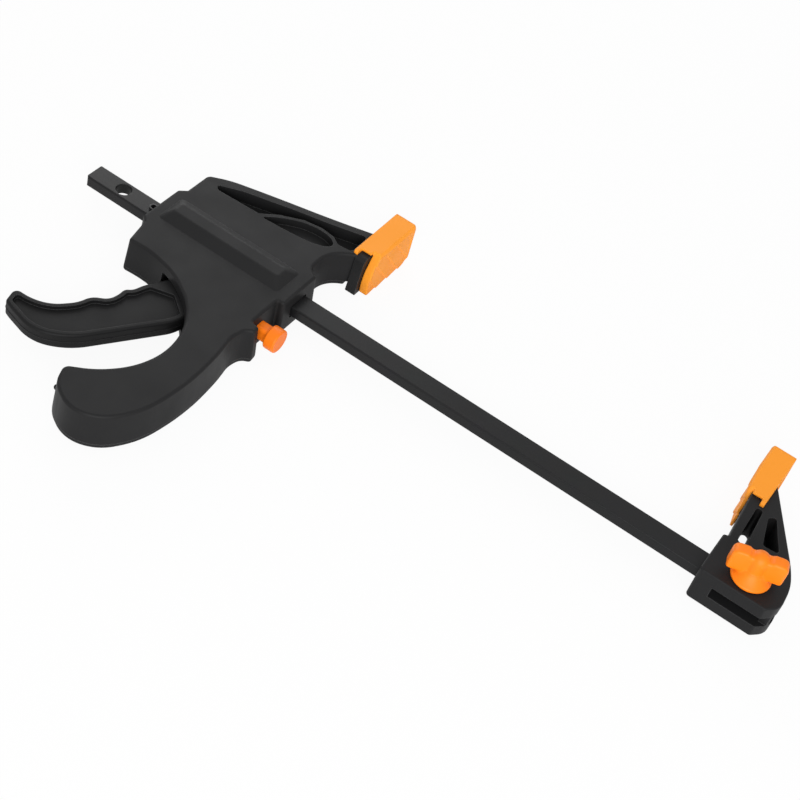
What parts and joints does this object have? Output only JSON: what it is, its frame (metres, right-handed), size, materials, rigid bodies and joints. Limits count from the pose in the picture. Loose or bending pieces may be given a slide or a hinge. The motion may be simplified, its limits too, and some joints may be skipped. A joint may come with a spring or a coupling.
{
  "type": "quick release bar clamp",
  "caption": "Pistol-grip bar clamp: a trigger and drive plates pull the flat bar through the housing, a button releases it, and padded jaws close on the work.",
  "frame": {"origin": "on the housing's flat side face, on the bar's centre line, halfway along the housing", "axes": "+X along the bar to the far jaw, +Y towards the jaw pads, +Z out of the flat side face's back, towards the knob"},
  "size_m": [0.4878, 0.2661, 0.0483],
  "materials": {
    "body_plastic": "fine matte moulded",
    "bar_steel": "black oxide, satin",
    "bright_steel": "zinc plated",
    "plate_steel": "stamped",
    "guide_plastic": "smooth",
    "soft_pad": "soft matte",
    "knob_plastic": "satin moulded",
    "button_plastic": "satin moulded"
  },
  "bodies": {
    "housing": {"housing_shell": "body_plastic", "housing_cover": "body_plastic", "housing_screws": "bright_steel", "bar_guide_rear": "guide_plastic", "bar_guide_front": "guide_plastic", "trigger_pivot_pin": "bright_steel", "moving_jaw_pad": "soft_pad", "drive_spring": "bright_steel", "spring_washer": "bright_steel", "brake_spring": "bright_steel"},
    "bar": {"bar": "bar_steel", "stop_pin": "bar_steel", "fixed_jaw": "body_plastic", "fixed_jaw_pad": "soft_pad", "jaw_nut": "bright_steel", "knob_washer": "bright_steel"},
    "trigger": {"trigger_lever": "body_plastic"},
    "drive_plates": {"drive_plate_front": "plate_steel", "drive_plate_rear": "plate_steel"},
    "brake": {"brake_plate": "plate_steel"},
    "button": {"release_button": "button_plastic"},
    "bolt": {"knob_bolt": "bright_steel"},
    "knob": {"wing_knob": "knob_plastic"}
  },
  "joints": [
    {"name": "bar_slide", "type": "slide", "parent": "housing", "child": "bar", "axis": [1, 0, 0], "range_m": [-0.2563, 0.0008]},
    {"name": "trigger_squeeze", "type": "hinge", "parent": "housing", "child": "trigger", "pos_m": [0.00052, -0.028, 0.0125], "axis": [0, 0, 1], "range_deg": [0, 20], "stiffness_Nm_per_rad": 1.2, "springref_deg": -5.73},
    {"name": "drive_stroke", "type": "slide", "parent": "housing", "child": "drive_plates", "axis": [-1, 0, 0], "range_m": [0, 0.0055], "deforming": ["drive_spring"]},
    {"name": "release_press", "type": "slide", "parent": "housing", "child": "button", "axis": [-1, 0, 0], "range_m": [0, 0.003], "stiffness_N_per_m": 600, "springref_m": -0.002},
    {"name": "brake_tilt", "type": "hinge", "parent": "housing", "child": "brake", "pos_m": [0.0365, 0.013, 0.0125], "axis": [0, 0, -1], "range_deg": [0, 4], "deforming": ["brake_spring"]},
    {"name": "knob_spin", "type": "hinge", "parent": "bolt", "child": "knob", "pos_m": [0.3594, 0, 0.0253], "axis": [0, 0, 1], "range_deg": [0, 2161]},
    {"name": "bolt_lift", "type": "slide", "parent": "bar", "child": "bolt", "axis": [0, 0, 1], "range_m": [0, 0.006]}
  ],
  "couplings": [
    {"joint": "drive_stroke", "follows": "trigger_squeeze", "m_per_rad": 0.014},
    {"joint": "brake_tilt", "follows": "release_press", "rad_per_m": 22},
    {"joint": "knob_spin", "follows": "bolt_lift", "rad_per_m": 6283.2}
  ]
}
